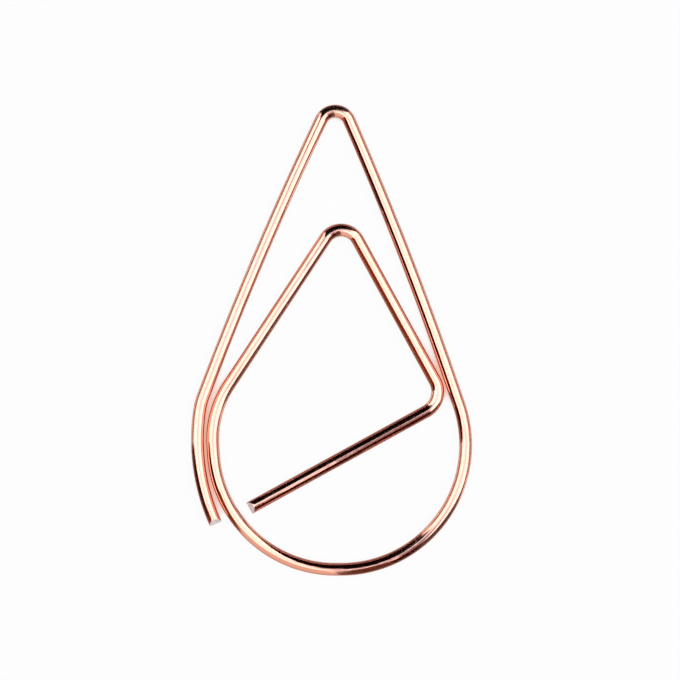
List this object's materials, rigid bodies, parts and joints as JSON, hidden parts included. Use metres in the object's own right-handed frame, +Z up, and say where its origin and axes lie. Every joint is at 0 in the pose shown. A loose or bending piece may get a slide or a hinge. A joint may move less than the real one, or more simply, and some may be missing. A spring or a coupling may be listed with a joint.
{
  "type": "paper clip",
  "caption": "Teardrop paper clip bent from one round plated wire: an outer loop, an inner tongue with a slanted cross arm, and a tail beside the bowl.",
  "frame": {"origin": "centre of the clip's outline, on the surface that it lies on", "axes": "+Y along the clip towards its outer tip, +X to the right seen from above, +Z up through the wire"},
  "size_m": [0.015, 0.025, 0.0007],
  "materials": {
    "rose_gold_wire": "polished rose gold plating on drawn steel wire"
  },
  "bodies": {
    "outer_loop": {"outer_loop": "rose_gold_wire"},
    "tongue": {"tongue": "rose_gold_wire"},
    "foot": {"foot": "rose_gold_wire"},
    "tail": {"tail": "rose_gold_wire"}
  },
  "joints": [
    {"name": "tongue_lift", "type": "hinge", "parent": "outer_loop", "child": "tongue", "pos_m": [0.00037, -0.01216, 0.00034], "axis": [1, 0, 0], "range_deg": [0, 15], "stiffness_Nm_per_rad": 0.074},
    {"name": "foot_lift", "type": "hinge", "parent": "tongue", "child": "foot", "pos_m": [0.00139, 0.00533, 0.00034], "axis": [-0.4803, 0.8771, 0], "range_deg": [0, 8], "stiffness_Nm_per_rad": 0.194},
    {"name": "tail_lift", "type": "hinge", "parent": "outer_loop", "child": "tail", "pos_m": [-0.00055, 0.01169, 0.00034], "axis": [-0.4296, -0.903, 0], "range_deg": [0, 15], "stiffness_Nm_per_rad": 0.104}
  ]
}
